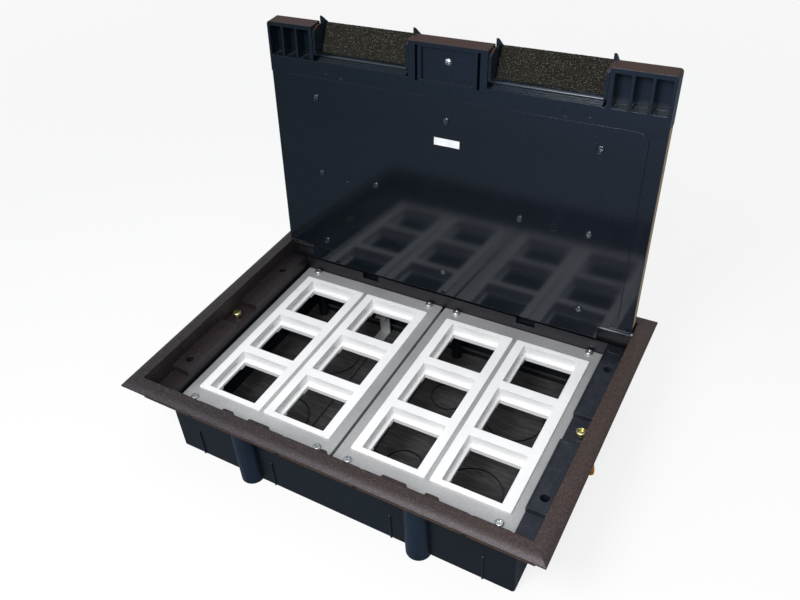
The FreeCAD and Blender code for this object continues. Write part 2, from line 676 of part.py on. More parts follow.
def front_pockets(s):
    """Three pockets in a corner block, open to the inner side."""
    tools = []
    start = OUTLET_OUT + FRONT_WALL
    width = (LID_X - 2.2 - start - 2 * POCKET_RIB) / 3
    for k in range(3):
        x0 = start + k * (width + POCKET_RIB)
        a0, a1 = sorted((s * x0, s * (x0 + width)))
        pocket = lid_box(a0, a1, OUTLET_U - 0.4, LID_FRONT - FRONT_WALL,
                         -LID_T + POCKET_FLOOR, 1)
        upright = [e for e in pocket.Edges if abs(e.tangentAt(e.FirstParameter).z) > 0.99]
        tools.append(pocket.makeFillet(0.8, upright))
    return tools


def centre_pockets():
    """Slots and the sunk panel of the centre block."""
    tools = []
    for s in SIDES:
        x0, x1 = sorted((s * (OUTLET_IN - 7.7), s * (OUTLET_IN - 5.5)))
        tools.append(lid_box(x0, x1, OUTLET_U - 2.9, LID_FRONT - 2.4, -LID_T + POCKET_FLOOR, 1))
    panel_x = OUTLET_IN - 10.7
    tools.append(lid_box(-panel_x, panel_x, OUTLET_U - 1.2, LID_FRONT - FRONT_WALL, -PANEL_DEEP, 1))
    tools.append(lid_disc(0, CAGE_SCREW_U, -LID_T + 2.0, 0, CAGE_SCREW_R + 0.05))
    # handle well, sunk from the outer face
    well_x = HANDLE_X + HANDLE_GAP
    tools.append(lid_box(-well_x, well_x, HANDLE_FREE_U - HANDLE_GAP,
                         HANDLE_U + HANDLE_R + HANDLE_GAP, -LID_T - 1,
                         -LID_T + HANDLE_T + 0.3))
    tools.append(lid_box(-HANDLE_X + 7, HANDLE_X - 7, HANDLE_FREE_U + 3, HANDLE_U - 4,
                         -LID_T - 1, -LID_T + HANDLE_T + 2.8))
    hole_x = HANDLE_X + HANDLE_PIN_IN + 0.2
    tools.append(rod_x(-hole_x, hole_x, lid_y(HANDLE_U), HANDLE_Z, HANDLE_PIN_R))
    return tools


def outlet_cut(s):
    """Opening for one cable outlet, with stairs down its inner end."""
    x0, x1 = sorted((s * OUTLET_IN, s * OUTLET_OUT))
    edge = CHEEK + FLAP_GAP + 0.4
    last = OUTLET_U + (STEPS - 1) * STEP_U
    tools = [lid_box(x0, x1, last, LID_FRONT + 3, -LID_T - 1, 1)]
    for k in range(STEPS - 1):
        tools.append(lid_box(x0, x1, OUTLET_U + k * STEP_U, last + 1,
                             -(k + 1) * STEP_V, 1))
    # room for the cheeks beside the stairs
    for a0, a1 in ((x0, x0 + edge), (x1 - edge, x1)):
        tools.append(lid_box(a0, a1, OUTLET_U - 0.6, last + 1, -LID_T - 1, 1))
    # hollow for the flap's barrel
    tools.append(rod_x(x0, x1, FLAP_Y, FLAP_Z, FLAP_DROP + FLAP_GAP))
    tools.append(lid_box(x0, x1, FLAP_U - FLAP_DROP - FLAP_GAP, last + 1,
                         -LID_T - 1, -LID_T + FLAP_DROP))
    a0, a1 = sorted((s * (OUTLET_IN - FLAP_PIN_IN - 0.2), s * (OUTLET_OUT + FLAP_PIN_IN + 0.2)))
    tools.append(rod_x(a0, a1, FLAP_Y, FLAP_Z, FLAP_PIN_R))
    return tools


MID_U = sum(BOARD_SCREW_U) / 2
BOARD_SCREWS = ([(x, u) for u in BOARD_SCREW_U for x in BOARD_SCREW_X]
                + [(s * x, MID_U) for s in SIDES
                   for x in (BOARD_SCREW_MID_X, BOARD_SCREW_X[2])])


# ---------------------------------------------------------------------------
# pieces carried by the lid
# ---------------------------------------------------------------------------
def lid_board():
    """Board let into the outer side, its two ends showing past the skin."""
    g = BOARD_GAP
    body = lid_box(-LID_X + 0.2, LID_X - 0.2, BACK_RIM_U + g, STRIP_U - g,
                   -LID_T + 0.3, -SKIN)
    tools = []
    for x, u in BOARD_SCREWS:
        tools.append(lid_disc(x, u, -SKIN - BOARD_SCREW_L - 0.5, -SKIN + 1, BOARD_SCREW_R))
    return cut(body, tools)


def board_screw(x, u):
    """Self-tapping screw seen from the lid's inner side, head in its dimple."""
    y = lid_y(u)
    head_r = BOARD_SCREW_R + 1.0
    head = rod_z(x, y, lid_z(0.5), lid_z(-0.5), head_r)
    rim = [e for e in head.Edges if e.BoundBox.ZMax < lid_z(0.5) + 0.01]
    head = head.makeFillet(0.45, rim)
    shank = rod_z(x, y, lid_z(-0.5), lid_z(-SKIN - BOARD_SCREW_L), BOARD_SCREW_R)
    arm = head_r * 0.55
    drive = box(x - arm, x + arm, y - 0.25, y + 0.25, lid_z(0.7), lid_z(0.1))
    cross = box(x - 0.25, x + 0.25, y - arm, y + arm, lid_z(0.7), lid_z(0.1))
    return cut(head.fuse(shank), [drive, cross])


def handle_screw():
    """Domed screw in the centre block, its head on the sunk panel."""
    y = lid_y(CAGE_SCREW_U)
    seat = lid_z(-PANEL_DEEP)
    dome_r = 3.4
    head = Part.makeSphere(dome_r, V(0, y, seat + 1.9))
    head = head.common(box(-dome_r, dome_r, y - dome_r, y + dome_r, seat - dome_r, seat))
    shank = rod_z(0, y, seat - 0.05, lid_z(-LID_T + HANDLE_T + 1.2), CAGE_SCREW_R)
    arm = dome_r * 0.5
    drive = [box(-arm, arm, y - 0.35, y + 0.35, seat - dome_r, seat - 0.6),
             box(-0.35, 0.35, y - arm, y + arm, seat - dome_r, seat - 0.6)]
    return cut(head.fuse(shank), drive)


def handle_bail():
    """Flat lifting loop lying flush in the outer face."""
    z0, z1 = HANDLE_Z - HANDLE_R, HANDLE_Z + HANDLE_R
    pin_y = lid_y(HANDLE_U)
    free_y = lid_y(HANDLE_FREE_U)
    plate = box(-HANDLE_X, HANDLE_X, pin_y, free_y, z0, z1)
    upright = [e for e in plate.Edges
               if abs(e.tangentAt(e.FirstParameter).z) > 0.99 and e.BoundBox.YMin > free_y - 0.1]
    plate = plate.makeFillet(3.0, upright)
    barrel = rod_x(-HANDLE_X, HANDLE_X, pin_y, HANDLE_Z, HANDLE_R)
    body = join([plate, barrel])
    window = block(0, (pin_y + free_y) / 2 + 0.2, z0 - 1, z1 + 1, 21.0, 7.0, 2.4)
    bore = rod_x(-HANDLE_X - 1, HANDLE_X + 1, pin_y, HANDLE_Z, HANDLE_PIN_R + 0.06)
    return cut(body, [window, bore])


def dangling(shape):
    """Let the lifting loop hang straight down from its pin on the open lid."""
    out = shape.copy()
    out.rotate(V(0, lid_y(HANDLE_U), HANDLE_Z), V(1, 0, 0), OPEN_ANGLE - 90.0)
    return opened(out)


def handle_pin():
    reach = HANDLE_X + HANDLE_PIN_IN
    return rod_x(-reach, reach, lid_y(HANDLE_U), HANDLE_Z, HANDLE_PIN_R)


def label():
    x0 = 1.0 - LABEL_X / 2
    return lid_box(x0, x0 + LABEL_X, LABEL_U, LABEL_U + LABEL_L, 0.0, LABEL_T)


def hinge_pin(s):
    x0, x1 = sorted((s * (LID_X - PIN_IN_LID), s * (RECESS_X + PIN_IN_WALL)))
    return rod_x(x0, x1, PIVOT_Y, PIVOT_Z, PIN_R)


# ---------------------------------------------------------------------------
# outlet flaps, drawn shut
# ---------------------------------------------------------------------------
def turned(point, angle):
    """Rotate a (y, z) point about the flap hinge."""
    a = math.radians(angle)
    y, z = point[0] - FLAP_Y, point[1] - FLAP_Z
    return (FLAP_Y + y * math.cos(a) - z * math.sin(a),
            FLAP_Z + y * math.sin(a) + z * math.cos(a))


def cheek_outline():
    """Side cheek's outline on the shut flap, from its shape at rest."""
    front = lid_y(LID_FRONT)
    rest = [
        (front - TIP_REACH, FLANGE_TOP + 0.4),
        (front - TIP_REACH + 0.5, FLANGE_TOP + 0.35),
        (front + 0.4, FLANGE_TOP + 0.35),
        (front + 0.4, lid_z(-7.0)),
        (lid_y(LID_FRONT - 3.6), lid_z(-0.4)),
        (lid_y(OUTLET_U + 4.8), lid_z(-0.4)),
        (lid_y(OUTLET_U + 3.0), lid_z(-2.6)),
    ]
    return [turned(p, FLAP_REST) for p in rest]


def flap(s):
    x0, x1 = OUTLET_IN + FLAP_GAP, OUTLET_OUT - FLAP_GAP
    front = lid_y(LID_FRONT + FLAP_LONG)
    plate = box(x0, x1, front, FLAP_Y, FLANGE_TOP - FLAP_T, FLANGE_TOP)
    barrel = rod_x(x0, x1, FLAP_Y, FLAP_Z, FLAP_DROP)
    outline = [(FLAP_Y - 1.0, FLANGE_TOP), (front, FLANGE_TOP)]
    outline += cheek_outline()
    outline.append((FLAP_Y - 0.4, FLAP_Z - FLAP_DROP + 0.3))
    cheeks = [prism_x(outline, x0, x0 + CHEEK), prism_x(outline, x1 - CHEEK, x1)]
    body = join([plate, barrel] + cheeks)
    bore = rod_x(x0 - 1, x1 + 1, FLAP_Y, FLAP_Z, FLAP_BORE_R)
    body = cut(body, [bore])
    return body if s > 0 else mirror_x(body)


def flap_foam(s):
    edge = FLAP_GAP + CHEEK + FOAM_GAP
    z1 = FLANGE_TOP - FLAP_T - FOAM_GAP
    body = box(OUTLET_IN + edge, OUTLET_OUT - edge, lid_y(LID_FRONT + FLAP_LONG),
               FLAP_Y - FLAP_DROP - FOAM_GAP, z1 - FOAM_T, z1)
    return body if s > 0 else mirror_x(body)


def flap_pin(s):
    body = rod_x(OUTLET_IN - FLAP_PIN_IN, OUTLET_OUT + FLAP_PIN_IN, FLAP_Y, FLAP_Z, FLAP_PIN_R)
    return body if s > 0 else mirror_x(body)


# ---------------------------------------------------------------------------
# floor clamps and small pieces in the tray
# ---------------------------------------------------------------------------
def clamp_screw(s):
    seat = LEDGE_TOP - STEP_DOWN + CLAMP_BOSS
    return pan_head(s * CLAMP_X, CLAMP_Y, seat, CLAMP_HEAD_R, CLAMP_HEAD_H,
                    CLAMP_SCREW_R, seat - CLAW_Z + 12.0)


def clamp_claw(s):
    x = s * CLAMP_X
    hub = rod_z(x, CLAMP_Y, CLAW_Z, CLAW_Z + CLAW_H, 4.4)
    reach = x + s * CLAW_REACH
    x0, x1 = sorted((x, reach))
    arm = box(x0, x1, CLAMP_Y - TOE_R, CLAMP_Y + TOE_R, CLAW_Z, CLAW_Z + 4.0)
    # drop-shaped toe, drawn out to a point that bites under the floor
    foot = rod_z(reach, CLAMP_Y, CLAW_Z - 2.0, CLAW_Z + 3.0, TOE_R)
    foot = foot.makeFillet(1.8, [e for e in foot.Edges if e.BoundBox.ZMax < CLAW_Z - 1.99])
    tip = cone_z(reach, CLAMP_Y, CLAW_Z + 3.0, CLAW_Z + 13.5, TOE_R, 0.9)
    body = join([hub, arm, foot, tip])
    return cut(body, [rod_z(x, CLAMP_Y, CLAW_Z - 1, CLAW_Z + CLAW_H + 1, CLAW_BORE_R)])


def earth_strap():
    """Bent steel earth strap on the tray's floor, near the back wall."""
    x0, x1 = -66.0, -56.0
    y1 = 92.0
    outline = [(y1 - 26, FLOOR_T), (y1, FLOOR_T), (y1, 26.0), (y1 - 9, 26.0),
               (y1 - 9, 24.8), (y1 - 1.2, 24.8), (y1 - 1.2, FLOOR_T + 1.2),
               (y1 - 26, FLOOR_T + 1.2)]
    body = prism_x(outline, x0, x1)
    hole = rod_z(-61.0, y1 - 18, FLOOR_T - 1, FLOOR_T + 3, SCREW_R)
    return cut(body, [hole])


def earth_screw():
    return pan_head(-61.0, 74.0, FLOOR_T + 1.2, HEAD_R, HEAD_H, SCREW_R - 0.02, 1.0)


# ---------------------------------------------------------------------------
# build
# ---------------------------------------------------------------------------
save("base_tray", base_tray())
save("flange_frame", flange_frame())
for side, s in (("left", -1), ("right", 1)):
    save("carrier_plate_" + side, carrier_plate(s))
    save("hinge_pin_" + side, opened(hinge_pin(s)))
    save("outlet_flap_" + side, hung(flap(s)))
    save("outlet_foam_" + side, hung(flap_foam(s)))
    save("flap_pin_" + side, opened(flap_pin(s)))
    save("clamp_screw_" + side, clamp_screw(s))
    save("clamp_claw_" + side, clamp_claw(s))
for i, letter in enumerate("abcd"):
    save("module_frame_" + letter, module_frame(i))
save("plate_screws", [pan_head(s * x, y, PLATE_TOP, HEAD_R, HEAD_H, SCREW_R - 0.02, 11.0)
                      for s in SIDES for x in PLATE_SCREW_X
                      for y in (-PLATE_SCREW_Y, PLATE_SCREW_Y)])
save("frame_screws", [pan_head(s * FRAME_SCREW_X, y, LEDGE_TOP - FRAME_SINK,
                               FRAME_HEAD_R, HEAD_H, SCREW_R - 0.02, 12.0)
                      for s in SIDES for y in FRAME_SCREW_Y])
save("lid_shell", opened(lid_shell()))
save("lid_board", opened(lid_board()))
save("board_screws", [opened(board_screw(x, u)) for x, u in BOARD_SCREWS])
save("handle_screw", opened(handle_screw()))
save("lift_handle", dangling(handle_bail()))
save("handle_pin", opened(handle_pin()))
save("lid_label", opened(label()))
save("earth_strap", earth_strap())
save("earth_screw", earth_screw())
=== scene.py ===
import json
import math

import bpy
from mathutils import Matrix, Vector


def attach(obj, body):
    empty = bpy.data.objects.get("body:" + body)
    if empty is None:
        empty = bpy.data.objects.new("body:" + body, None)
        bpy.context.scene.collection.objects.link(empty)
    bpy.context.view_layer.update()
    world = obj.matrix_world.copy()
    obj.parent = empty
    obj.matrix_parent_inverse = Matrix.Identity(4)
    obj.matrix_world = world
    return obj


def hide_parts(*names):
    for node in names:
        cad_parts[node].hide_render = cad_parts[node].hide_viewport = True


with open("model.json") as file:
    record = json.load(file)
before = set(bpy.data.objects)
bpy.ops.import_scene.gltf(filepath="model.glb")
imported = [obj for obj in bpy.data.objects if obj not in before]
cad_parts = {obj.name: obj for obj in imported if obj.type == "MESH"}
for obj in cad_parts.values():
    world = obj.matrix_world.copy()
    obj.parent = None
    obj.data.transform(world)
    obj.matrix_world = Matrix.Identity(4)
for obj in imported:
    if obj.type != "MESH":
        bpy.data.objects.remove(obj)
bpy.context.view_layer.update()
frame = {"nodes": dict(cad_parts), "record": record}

MM = 0.001

# ---------------------------------------------------------------------------
# camera: azimuth from the front, elevation above the floor, roll about the view
# ---------------------------------------------------------------------------
AZIMUTH = math.radians(34.38)
ELEVATION = math.radians(38.77)
ROLL = math.radians(6.03)
DISTANCE = 0.714
LOOK_AT = Vector((-0.073, 0.078, 0.047))
LENS = 35.5
SENSOR = 36.0
SHIFT_X = 0.045

# ---------------------------------------------------------------------------
# where one finish gives way to another, and where painted light and shade start and stop, in
# millimetres of the open box at rest
# ---------------------------------------------------------------------------
LEAN = math.radians(4.3)            # the open lid leans back past upright
TRAY_FLOOR_BELOW = 40.0             # faces under this that look up are the tray's floor
# past COLUMN_FACE and under COLUMN_TOP the columns carry a painted bluish highlight
COLUMN_FACE = 101.6                 # the tray's columns stand out past this
COLUMN_TOP = 57.0
RECESS_SIDE = 158.7                 # the recess inside the border
RECESS_BACK = 108.7
RECESS_FRONT = -97.0
# toward the hinge shelf the recess is painted shade-dark
SHELF = (70.0, 92.0)                # from the plates back to the hinge shelf
# the lip below LIP_FRONT, between the LIP heights, is painted lighter as if lit
LIP_FRONT = -105.0                  # lip under the front of the border
LIP = (64.0, 60.0)
# between LID_SIDES the lid is painted lighter toward the right
LID_SIDES = (-158.0, 158.0)
LID_BLOCKS = (215.0, 262.0)         # from the panel up to the blocks
LID_TOP = (277.6, 278.6)            # the blocks' top faces
BOARD_CORE_IN = (91.6, 92.0)        # the paler core ply, from inside
BOARD_CORE_OUT = (95.4, 95.8)       # to outside

# ---------------------------------------------------------------------------
# foam pads
# ---------------------------------------------------------------------------
FOAM_MERGE = 0.01 * MM
FOAM_EDGE = 0.35 * MM               # rounding of the cut edges
FOAM_CELL = 0.7 * MM                # size of the remeshed foam's faces
FOAM_ROUGH = 0.30 * MM              # depth of the torn cells
FOAM_TEAR = 1.3 * MM                # size of the torn cells
FOAM_LEVEL = 0.62                   # share of the tears that go inwards
FOAM_SMOOTH = math.radians(60)

# ---------------------------------------------------------------------------
# stage and light
# ---------------------------------------------------------------------------
FLOOR_SIZE = 8.0
FLOOR_DROP = -0.0002
FLOOR_FADE = (0.6, 2.4)             # metres over which the floor turns to plain white
ROOM_TINT = (0.90, 0.94, 1.0)
ROOM_STRENGTH = 0.42
LIT_POINT = (0, 0, 0.08)
NEUTRAL = (1, 1, 1)
LAMPS = (                           # name, place, width, watts, tint
    ("front_softbox", (-0.05, -0.58, 0.80), 0.30, 5.2, NEUTRAL),
    ("camera_softbox", (0.27, -0.45, 0.60), 0.16, 1.6, NEUTRAL),
    ("left_softbox", (-1.1, -0.9, 1.3), 1.0, 4.5, (0.96, 0.98, 1.0)),
    ("top_softbox", (0.1, 0.2, 1.7), 1.2, 4.0, NEUTRAL),
)


# ---------------------------------------------------------------------------
# shader maths
# ---------------------------------------------------------------------------
def srgb(text):
    """A colour as written on screen, in the light's own scale."""
    parts = [int(text[i:i + 2], 16) / 255 for i in (0, 2, 4)]
    return tuple(p / 12.92 if p <= 0.04045 else ((p + 0.055) / 1.055) ** 2.4 for p in parts)


class Value:
    """A socket of numbers that takes Python's operators."""

    def __init__(self, nodes, socket):
        self.nodes = nodes
        self.socket = socket

    def math(self, operation, *values):
        return self.nodes.node("ShaderNodeMath", {"operation": operation},
                               dict(enumerate(values)))

    def __add__(self, other):
        return self.math("ADD", self, other)

    def __radd__(self, other):
        return self.math("ADD", other, self)

    def __sub__(self, other):
        return self.math("SUBTRACT", self, other)

    def __rsub__(self, other):
        return self.math("SUBTRACT", other, self)

    def __mul__(self, other):
        return self.math("MULTIPLY", self, other)

    def __rmul__(self, other):
        return self.math("MULTIPLY", other, self)

    def __gt__(self, other):
        return self.math("GREATER_THAN", self, other)

    def __lt__(self, other):
        return self.math("LESS_THAN", self, other)

    def abs(self):
        return self.math("ABSOLUTE", self)

    def ramp(self, low, high):
        """0 at low, 1 at high, straight between."""
        return self.nodes.node("ShaderNodeMapRange", {"clamp": True},
                               {"Value": self, "From Min": low, "From Max": high})


class Nodes:
    """A node tree and the one way that nodes are added to it."""

    def __init__(self, tree):
        self.tree = tree
        self.tree.nodes.clear()

    def node(self, kind, settings=None, values=None, out=0):
        """A node of a kind, its settings first and then its sockets."""
        new = self.tree.nodes.new(kind)
        for name, setting in (settings or {}).items():
            setattr(new, name, setting)
        for key, value in (values or {}).items():
            socket = new.inputs[key]
            if isinstance(value, Value):
                self.tree.links.new(value.socket, socket)
                continue
            if isinstance(value, str):
                value = srgb(value)
            if socket.type == "RGBA":
                value = (*value, 1.0)
            socket.default_value = value
        return Value(self, new.outputs[out]) if len(new.outputs) else None

    def ray(self, kind):
        """1 for rays of a kind, 0 for the others."""
        return self.node("ShaderNodeLightPath", out="Is %s Ray" % kind)


class Finish(Nodes):
    """One material, with short calls for the nodes that it needs."""

    def __init__(self, name):
        self.material = bpy.data.materials.new(name)
        self.material.use_nodes = True
        super().__init__(self.material.node_tree)
        self.place = self.node("ShaderNodeTexCoord", out="Object")

    def stretched(self, stretch):
        """The place on the piece, drawn out along its axes."""
        if stretch is None:
            return self.place
        return self.node("ShaderNodeMapping", None, {"Vector": self.place, "Scale": stretch})

    def noise(self, size, detail=3.0, rough=0.5, stretch=None):
        """Cloudy values of about 0.3 to 0.7, lumps of a size in millimetres."""
        return self.node("ShaderNodeTexNoise", None,
                         {"Vector": self.stretched(stretch), "Scale": 1.0 / (size * MM),
                          "Detail": detail, "Roughness": rough})

    def cells(self, size):
        """Distance to the nearest of points a size in millimetres apart."""
        return self.node("ShaderNodeTexVoronoi", None,
                         {"Vector": self.place, "Scale": 1.0 / (size * MM)})

    def axis(self, letter):
        """A coordinate in millimetres."""
        return self.node("ShaderNodeSeparateXYZ", None, {0: self.place}, out=letter) * (1 / MM)

    def facing(self, letter):
        """How far the surface faces along an axis of the object."""
        normal = self.node("ShaderNodeTexCoord", out="Normal")
        return self.node("ShaderNodeSeparateXYZ", None, {0: normal}, out=letter)

    def blend(self, factor, first, second):
        return self.node("ShaderNodeMix", {"data_type": "RGBA"},
                         {0: factor, 6: first, 7: second}, out=2)

    def edge(self, radius):
        """A normal that rounds sharp edges by a radius in millimetres."""
        return self.node("ShaderNodeBevel", {"samples": 6}, {"Radius": radius * MM})

    def bump(self, height, depth, strength, normal=None):
        """A normal from a height, its depth in millimetres."""
        values = {"Height": height, "Distance": depth * MM, "Strength": strength}
        if normal is not None:
            values["Normal"] = normal
        return self.node("ShaderNodeBump", None, values)

    def surface(self, colour, rough, normal, **constants):
        values = {"Base Color": colour, "Roughness": rough, "Normal": normal}
        for name, value in constants.items():
            values[name.replace("_", " ")] = value
        shader = self.node("ShaderNodeBsdfPrincipled", None, values)
        self.node("ShaderNodeOutputMaterial", None, {"Surface": shader})
        return self.material


# ---------------------------------------------------------------------------
# finishes, some with painted light and shade in their colour
# ---------------------------------------------------------------------------
def tray_plastic():
    """Polished blue-black moulding with draw marks and a painted bluish highlight streaked down
    its columns; its floor inside is painted a lighter grey than the walls, as if lit, with dust
    specks.
    """
    f = Finish("tray_plastic")
    cloud = f.noise(38, 4, 0.55)
    drag = f.noise(5, 3, 0.6, stretch=(1, 1, 0.08))
    grain = f.noise(0.5, 2)
    dust = f.noise(3.2, 5, 0.7)
    streak = f.noise(2.2, 4, 0.7, stretch=(0.12, 1, 1))
    inside = (f.facing("Z") > 0.7) * (f.axis("Z") < TRAY_FLOOR_BELOW)
    # painted highlight: bluish streaks down the columns' fronts stand in for light glancing off
    # them
    column_highlight = (f.axis("Y").abs() > COLUMN_FACE) * (f.axis("Z") < COLUMN_TOP)
    wall = f.blend(cloud.ramp(0.35, 0.7), "04080d", "0a121a")
    wall = f.blend(column_highlight * drag.ramp(0.35, 0.6) * 0.45, wall, "1b3048")
    # painted light: the floor inside is a lighter grey than the navy walls, standing in for
    # light falling on it; its streaks and the dust are its own
    floor = f.blend(streak.ramp(0.42, 0.66), "303031", "4a4a4b")
    colour = f.blend(inside, wall, floor)
    colour = f.blend((dust > 0.67) * 0.18, colour, "4a4f55")
    rough = 0.24 + cloud * 0.12 + drag * 0.12 + inside * 0.10
    normal = f.bump(drag * 0.8 + grain * 0.2, 0.05, 0.6, f.edge(0.5))
    return f.surface(colour, rough, normal, Specular_IOR_Level=0.42)


def border_plastic():
    """Spark-textured warm border round a smoother recess, bluer on its right. Painted light and
    shade: the border lightens toward the right, the recess's blue there is a painted sheen, the
    lip under the front is painted lit, the recess is painted near-black toward the hinge shelf,
    and the light specks are partly painted glints.
    """
    f = Finish("border_plastic")
    grit = f.noise(1.5, 5, 0.75)
    speck = f.noise(1.1, 4, 0.8)
    cloud = f.noise(60, 3, 0.5)
    smear = f.noise(9, 4, 0.65)
    x, y, z = f.axis("X"), f.axis("Y"), f.axis("Z")
    recess = (x.abs() < RECESS_SIDE) * (y < RECESS_BACK) * (y > RECESS_FRONT)
    outer = 1.0 - recess
    right = x.ramp(-130.0, 150.0)
    back = y.ramp(*SHELF)
    lip = z.ramp(*LIP) * (f.facing("Y") < -0.6) * (y < LIP_FRONT)
    # painted light: the border top goes from near-black on the left to a lighter brown on the
    # right, where more light falls
    warm = f.blend(right, "140e0b", "3a2b22")
    warm = f.blend(right * y.ramp(-60.0, 110.0) * 0.7, warm, "3f2f1d")
    warm = f.blend(cloud.ramp(0.35, 0.65) * 0.4, warm, "2a2424")
    # painted sheen: the recess turns bluer toward the right; its lighter smears are part smear
    # marks, part painted streaky highlights
    recess_tone_and_painted_light = f.blend(right, "1f1716", "141c26")
    smudge_and_sheen = f.blend(right, "2c2422", "2c3843")
    recess_tone_and_painted_light = f.blend(smear.ramp(0.45, 0.7) * 0.5, recess_tone_and_painted_light, smudge_and_sheen)
    # painted shade: the recess darkens to near-black toward the hinge shelf at the back, under
    # the open lid
    recess_tone_and_painted_light = f.blend(back * 0.95, recess_tone_and_painted_light, "05090f")
    colour = f.blend(recess, warm, recess_tone_and_painted_light)
    # painted light: the lip under the border's front is painted a bright brown, standing in for
    # light in the shade under the border
    colour = f.blend(lip * 0.9, colour, "7a5426")
    # the light specks are the spark texture's flecks and partly painted glints on it, fewer
    # toward the shaded back
    specks = speck.ramp(0.50, 0.68) * (0.12 + outer * 0.40 - back * 0.10)
    colour = f.blend(specks, colour, "7a6c6c")
    colour = f.blend(grit.ramp(0.35, 0.62) * 0.5, colour, "110d0f")
    rough = 0.33 + grit * 0.16 + outer * 0.05
    normal = f.bump(grit + speck * 0.8, 0.15, 0.9, f.edge(0.45))
    return f.surface(colour, rough, normal, Specular_Tint=(0.90, 0.89, 1.0))


def lid_gloss():
    """Mirror-polished navy moulding, rust-brown on its top faces, dusted with specks, and
    painted lighter toward its right, lighter and bluer still on its blocks there.
    """
    f = Finish("lid_gloss")
    cloud = f.noise(70, 4, 0.55)
    haze = f.noise(16, 4, 0.6, stretch=(1, 1, 0.35))
    wipe = f.noise(3.5, 3, 0.6, stretch=(0.25, 1, 1))
    grain = f.noise(0.9, 4, 0.7)
    dust = f.cells(4.2)
    height = f.axis("Z")
    across = f.axis("X").ramp(*LID_SIDES)
    top = height.ramp(*LID_TOP) * (f.facing("Z") > 0.55)
    blocks = height.ramp(*LID_BLOCKS)
    # painted light: the lid is lighter toward the right, and lighter and bluer still on its
    # blocks there, as if lit from that side
    colour = f.blend(across, "080f14", "171a22")
    colour = f.blend(cloud.ramp(0.3, 0.7) * 0.5, colour, "0e131a")
    colour = f.blend(blocks * 0.75, colour, f.blend(across, "09131c", "1a2431"))
    colour = f.blend(grain.ramp(0.45, 0.75) * 0.3, colour, "2a3039")
    colour = f.blend(top, colour, "2f160a")
    colour = f.blend((dust < 0.05) * 0.35, colour, "6c7480")
    rough = 0.055 + haze * 0.05 + wipe * 0.04 + top * 0.30 + blocks * 0.12
    normal = f.bump(cloud * 0.9 + grain * 0.02, 0.16, 0.25, f.edge(0.45))
    return f.surface(colour, rough, normal, Specular_Tint=(0.90, 0.95, 1.0))


def module_white():
    """Satin white moulding with soft sink marks."""
    f = Finish("module_white")
    cloud = f.noise(30, 3)
    grain = f.noise(0.7, 3)
    scuff = f.noise(2.4, 5, 0.7, stretch=(1, 0.3, 1))
    colour = f.blend(cloud.ramp(0.3, 0.7), "e4e4e5", "eeeeed")
    colour = f.blend((scuff > 0.68) * 0.10, colour, "c9c9ca")
    normal = f.bump(grain + cloud * 0.6, 0.02, 0.5, f.edge(0.5))
    return f.surface(colour, 0.30 + cloud * 0.16, normal)


def plate_zinc():
    """Zinc-plated sheet with a fine grain, faintly rolled and rubbed."""
    f = Finish("plate_zinc")
    rolled = f.noise(1.6, 4, 0.6, stretch=(0.05, 1, 1))
    cloud = f.noise(45, 3, 0.5)
    grain = f.noise(1.3, 4, 0.75)
    scratch = f.noise(0.5, 2, 0.5, stretch=(0.04, 1, 1))
    colour = f.blend(cloud.ramp(0.3, 0.72), "b4b4b5", "c8c8c8")
    colour = f.blend(grain.ramp(0.35, 0.68) * 0.35, colour, "969697")
    colour = f.blend((rolled > 0.62) * 0.2, colour, "a2a2a3")
    rough = 0.42 + cloud * 0.08 + grain * 0.14
    normal = f.bump(rolled + scratch * 0.5 + grain * 0.6, 0.03, 0.5, f.edge(0.25))
    return f.surface(colour, rough, normal, Metallic=0.6)


def plated(name, dark, light, rough, metal=1.0):
    """Plated steel small part."""
    f = Finish(name)
    cloud = f.noise(2.6, 3)
    grain = f.noise(0.25, 2)
    colour = f.blend(cloud.ramp(0.3, 0.7), dark, light)
    normal = f.bump(grain, 0.01, 0.5, f.edge(0.2))
    return f.surface(colour, rough + cloud * 0.15, normal, Metallic=metal)


def foam_black():
    """Open-cell foam, brown-black with pale cell walls."""
    f = Finish("foam_black")
    cells = f.cells(0.9)
    small = f.noise(0.8, 5, 0.8)
    cloud = f.noise(18, 3)
    colour = f.blend(small.ramp(0.4, 0.7), "0b0b0a", "36342e")
    colour = f.blend(cloud.ramp(0.35, 0.65) * 0.4, colour, "1f1e19")
    colour = f.blend((small > 0.57) * (cells < 0.5) * 0.75, colour, "7d7766")
    normal = f.bump(cells + small * 0.8, 0.4, 0.8)
    return f.surface(colour, 0.95, normal, Specular_IOR_Level=0.15)


def board_tan():
    """Pressed board in plies, paler in its core."""
    f = Finish("board_tan")
    fibre = f.noise(1.4, 5, 0.65)
    flake = f.noise(6, 4, 0.6)
    through = f.axis("Y") - f.axis("Z") * math.tan(LEAN)
    core = through.ramp(*BOARD_CORE_IN) * (1.0 - through.ramp(*BOARD_CORE_OUT))
    colour = f.blend(fibre.ramp(0.3, 0.7), "b8976c", "d4b68d")
    colour = f.blend(core * 0.6, colour, "e0c79a")
    colour = f.blend((flake > 0.6) * 0.16, colour, "8a6a42")
    return f.surface(colour, 0.72, f.bump(fibre, 0.08, 0.7, f.edge(0.4)))


def label_paper():
    """Blank satin label."""
    f = Finish("label_paper")
    cloud = f.noise(5, 3)
    fibre = f.noise(0.5, 3)
    colour = f.blend(cloud.ramp(0.3, 0.7), "e4e5e8", "f4f4f5")
    return f.surface(colour, 0.45 + fibre * 0.2, f.bump(fibre, 0.02, 0.4))


